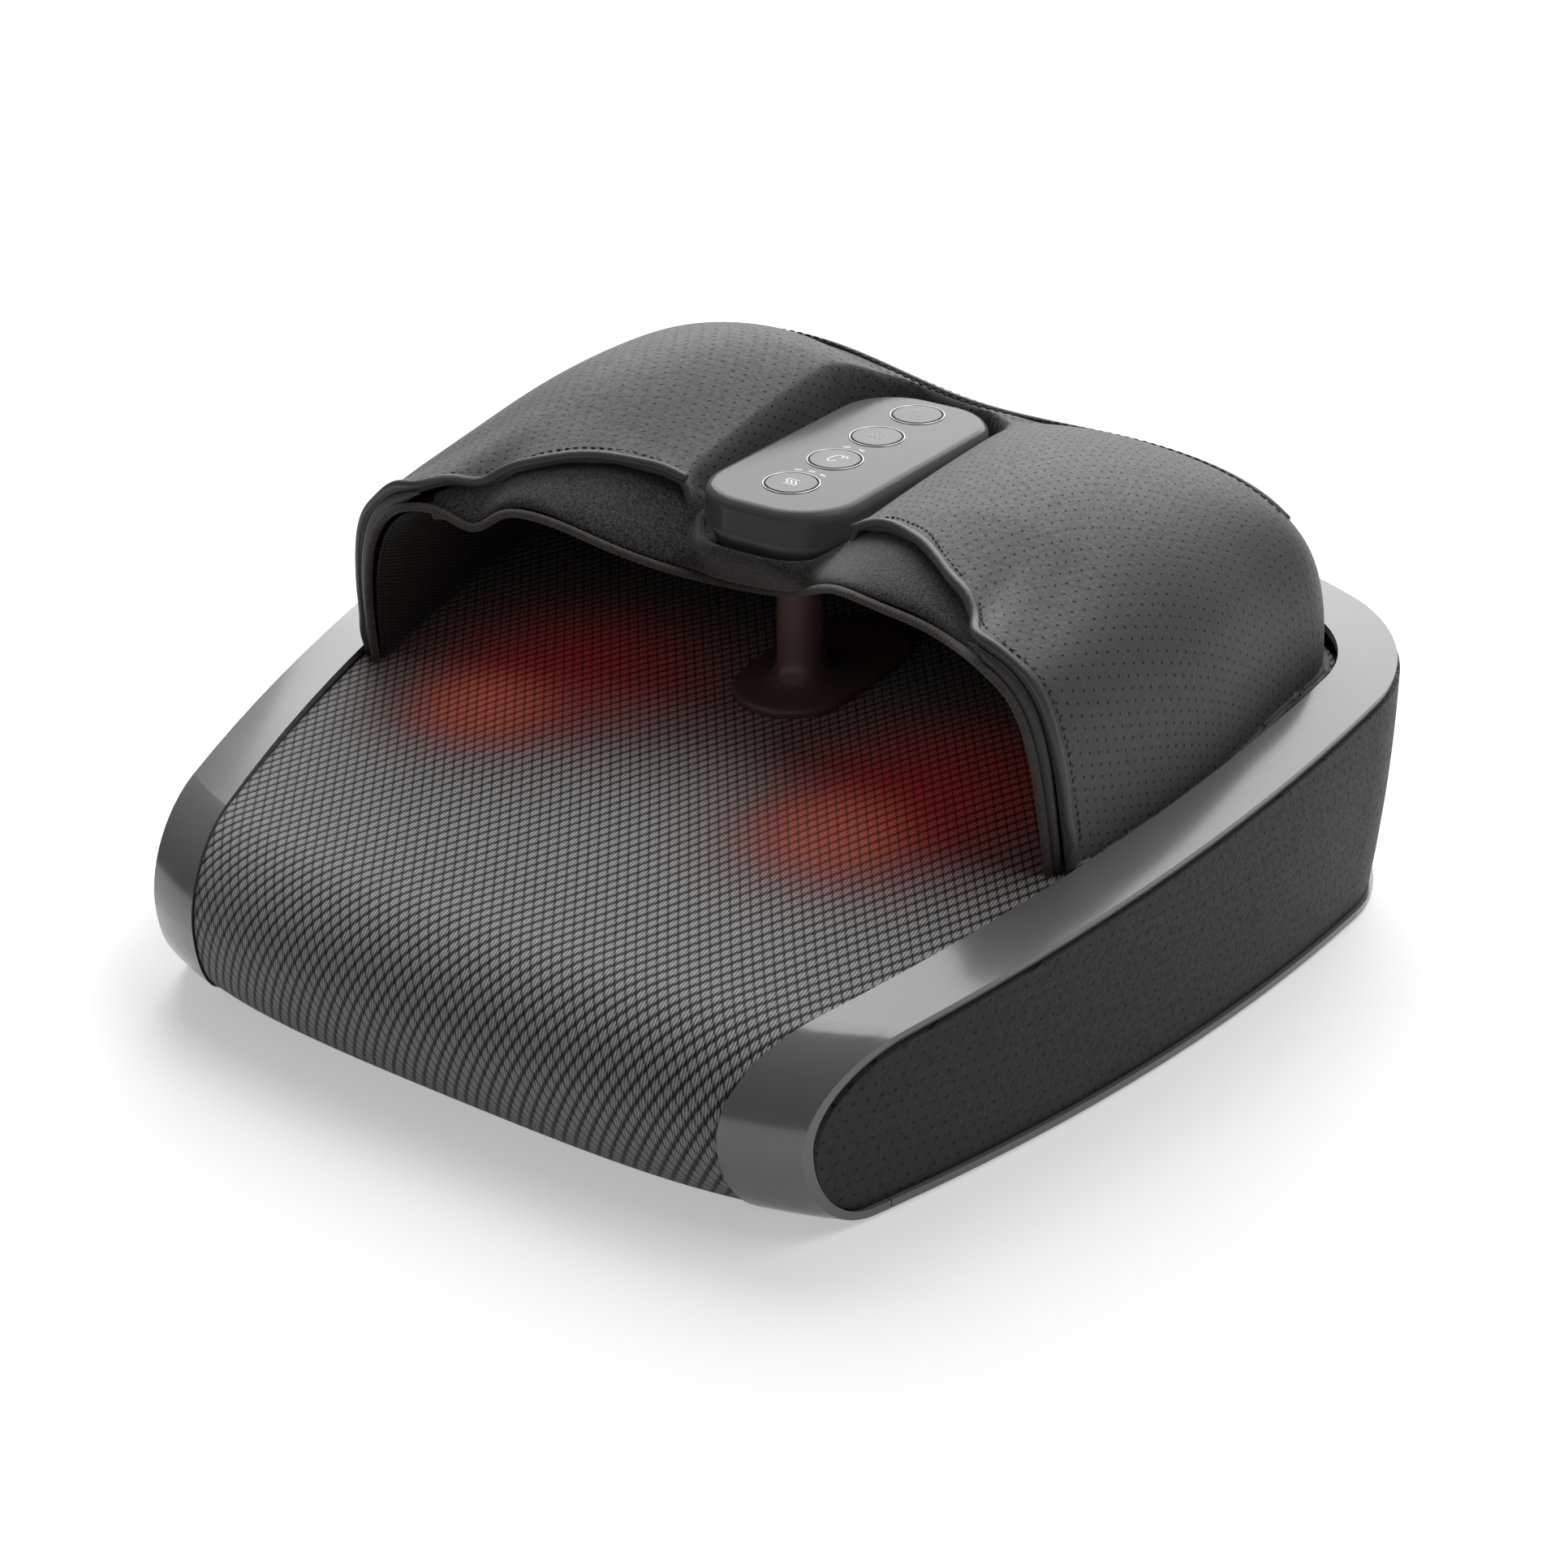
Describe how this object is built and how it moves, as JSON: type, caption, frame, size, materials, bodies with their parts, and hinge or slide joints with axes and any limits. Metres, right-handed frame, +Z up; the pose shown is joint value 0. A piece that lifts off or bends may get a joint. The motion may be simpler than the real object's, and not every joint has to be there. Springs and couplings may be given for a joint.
{
  "type": "foot massager",
  "caption": "Shiatsu foot massager: wide low base with a mesh footbed over geared kneading heads, a soft hood over the toes and a button pod on a post.",
  "frame": {"origin": "on the floor under the middle of the whole object", "axes": "+Z up, -Y towards the rounded nose where the feet go in, +X towards the user's right"},
  "size_m": [0.4028, 0.3971, 0.19],
  "materials": {
    "rail_plastic": "glossy gunmetal grey",
    "pod_plastic": "glossy gunmetal grey",
    "panel_leather": "finely perforated leatherette",
    "hood_leather": "perforated grained leatherette",
    "mesh": "coarse two-tone woven mesh",
    "fleece": "short black fleece",
    "binding": "ribbed binding tape",
    "lining": "dark knitted lining",
    "bladder": "thin welded film",
    "tray_plastic": "moulded black",
    "deck_plastic": "moulded black",
    "post_plastic": "semi-gloss black",
    "button": null,
    "window": "milky clear",
    "board": "solder-masked board",
    "switch": "moulded",
    "steel": "zinc plated",
    "gear": "natural acetal",
    "head": "warm red moulded",
    "motor_can": "drawn steel can",
    "pump": "moulded",
    "lamp": "red glass",
    "rubber": "black rubber"
  },
  "bodies": {
    "base": {"air_cell_left": "bladder", "air_cell_right": "bladder", "air_pump": "pump", "base_screws": "steel", "base_tray": "tray_plastic", "control_board": "board", "deck": "deck_plastic", "drive_motor": "motor_can", "fleece_collar": "fleece", "footbed_cover": "mesh", "front_binding": "binding", "gear_cover": "deck_plastic", "gear_pins": "steel", "gear_plate": "steel", "heat_lamp_left": "lamp", "heat_lamp_right": "lamp", "hood_cover": "hood_leather", "hood_lining": "lining", "key_board": "board", "key_switches": "switch", "light_windows": "window", "lower_trim": "rail_plastic", "motor_bracket": "steel", "plate_screws": "steel", "pod_base": "pod_plastic", "pod_screws": "steel", "pod_top": "pod_plastic", "power_inlet": "tray_plastic", "rubber_feet": "rubber", "side_panel": "panel_leather", "standoffs": "steel", "support_post": "post_plastic", "trim_rail": "rail_plastic", "worm_bearing": "gear"},
    "worm": {"drive_worm": "steel"},
    "wheel_right": {"worm_wheel_right": "gear"},
    "head_right_back": {"head_gear_right_back": "gear", "massage_head_right_back": "head"},
    "head_right_outer": {"head_gear_right_outer": "gear", "massage_head_right_outer": "head"},
    "head_right_front": {"head_gear_right_front": "gear", "massage_head_right_front": "head"},
    "wheel_left": {"worm_wheel_left": "gear"},
    "head_left_back": {"head_gear_left_back": "gear", "massage_head_left_back": "head"},
    "head_left_outer": {"head_gear_left_outer": "gear", "massage_head_left_outer": "head"},
    "head_left_front": {"head_gear_left_front": "gear", "massage_head_left_front": "head"},
    "key_air": {"button_air": "button"},
    "key_massage": {"button_massage": "button"},
    "key_heat": {"button_heat": "button"},
    "key_power": {"button_power": "button"}
  },
  "joints": [
    {"name": "worm_spin", "type": "hinge", "parent": "base", "child": "worm", "pos_m": [0, 0.04262, 0.026], "axis": [0, 1, 0], "continuous": true},
    {"name": "wheel_right_spin", "type": "hinge", "parent": "base", "child": "wheel_right", "pos_m": [0.039, 0.04262, 0.026], "axis": [0, 0, 1], "continuous": true},
    {"name": "head_right_back_spin", "type": "hinge", "parent": "base", "child": "head_right_back", "pos_m": [0.07, 0.01, 0.05], "axis": [0, 0, 1], "continuous": true},
    {"name": "head_right_outer_spin", "type": "hinge", "parent": "base", "child": "head_right_outer", "pos_m": [0.112, -0.024, 0.05], "axis": [0, 0, 1], "continuous": true},
    {"name": "head_right_front_spin", "type": "hinge", "parent": "base", "child": "head_right_front", "pos_m": [0.07, -0.058, 0.05], "axis": [0, 0, 1], "continuous": true},
    {"name": "wheel_left_spin", "type": "hinge", "parent": "base", "child": "wheel_left", "pos_m": [-0.039, 0.04262, 0.026], "axis": [0, 0, 1], "continuous": true},
    {"name": "head_left_back_spin", "type": "hinge", "parent": "base", "child": "head_left_back", "pos_m": [-0.07, 0.01, 0.05], "axis": [0, 0, 1], "continuous": true},
    {"name": "head_left_outer_spin", "type": "hinge", "parent": "base", "child": "head_left_outer", "pos_m": [-0.112, -0.024, 0.05], "axis": [0, 0, 1], "continuous": true},
    {"name": "head_left_front_spin", "type": "hinge", "parent": "base", "child": "head_left_front", "pos_m": [-0.07, -0.058, 0.05], "axis": [0, 0, 1], "continuous": true},
    {"name": "key_air_press", "type": "slide", "parent": "base", "child": "key_air", "axis": [0, 0, 1], "range_m": [-0.001, 0], "stiffness_N_per_m": 500},
    {"name": "key_massage_press", "type": "slide", "parent": "base", "child": "key_massage", "axis": [0, 0, 1], "range_m": [-0.001, 0], "stiffness_N_per_m": 500},
    {"name": "key_heat_press", "type": "slide", "parent": "base", "child": "key_heat", "axis": [0, 0, 1], "range_m": [-0.001, 0], "stiffness_N_per_m": 500},
    {"name": "key_power_press", "type": "slide", "parent": "base", "child": "key_power", "axis": [0, 0, 1], "range_m": [-0.001, 0], "stiffness_N_per_m": 500}
  ],
  "couplings": [
    {"joint": "wheel_right_spin", "follows": "worm_spin", "ratio": 0.041667},
    {"joint": "head_right_back_spin", "follows": "worm_spin", "ratio": -0.027778},
    {"joint": "head_right_outer_spin", "follows": "worm_spin", "ratio": 0.027778},
    {"joint": "head_right_front_spin", "follows": "worm_spin", "ratio": -0.027778},
    {"joint": "wheel_left_spin", "follows": "worm_spin", "ratio": -0.041667},
    {"joint": "head_left_back_spin", "follows": "worm_spin", "ratio": 0.027778},
    {"joint": "head_left_outer_spin", "follows": "worm_spin", "ratio": -0.027778},
    {"joint": "head_left_front_spin", "follows": "worm_spin", "ratio": 0.027778}
  ]
}
